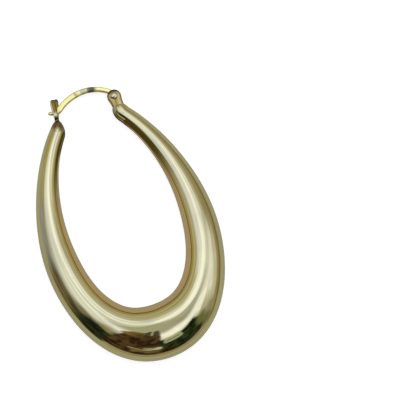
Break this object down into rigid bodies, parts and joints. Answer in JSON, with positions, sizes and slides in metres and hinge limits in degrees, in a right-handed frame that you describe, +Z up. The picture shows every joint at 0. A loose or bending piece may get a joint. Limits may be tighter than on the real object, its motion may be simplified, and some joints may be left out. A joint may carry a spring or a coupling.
{
  "type": "puffed hoop earring",
  "caption": "Hollow puffed oval hoop earring, thin at the ear and thick at the bottom, with a hinged ear wire that snaps into a forked catch.",
  "frame": {"origin": "centre of the bounding box, at the level of the surface that the earring lies on", "axes": "+Y towards the ear wire, along the long way of the oval; +X towards the hinge; +Z up, through the hoop as it lies"},
  "size_m": [0.032, 0.0524, 0.008],
  "materials": {
    "polished_gold": "polished yellow gold, with fine wear",
    "wire_gold": "bright polished yellow gold"
  },
  "bodies": {
    "hoop": {"hoop_body": "polished_gold", "hinge_pin": "polished_gold"},
    "wire": {"ear_wire": "wire_gold"}
  },
  "joints": [
    {"name": "wire_hinge", "type": "hinge", "parent": "hoop", "child": "wire", "pos_m": [0.0059, 0.0227, 0.00133], "axis": [0, -0.0617, -0.9981], "range_deg": [0, 85]}
  ]
}
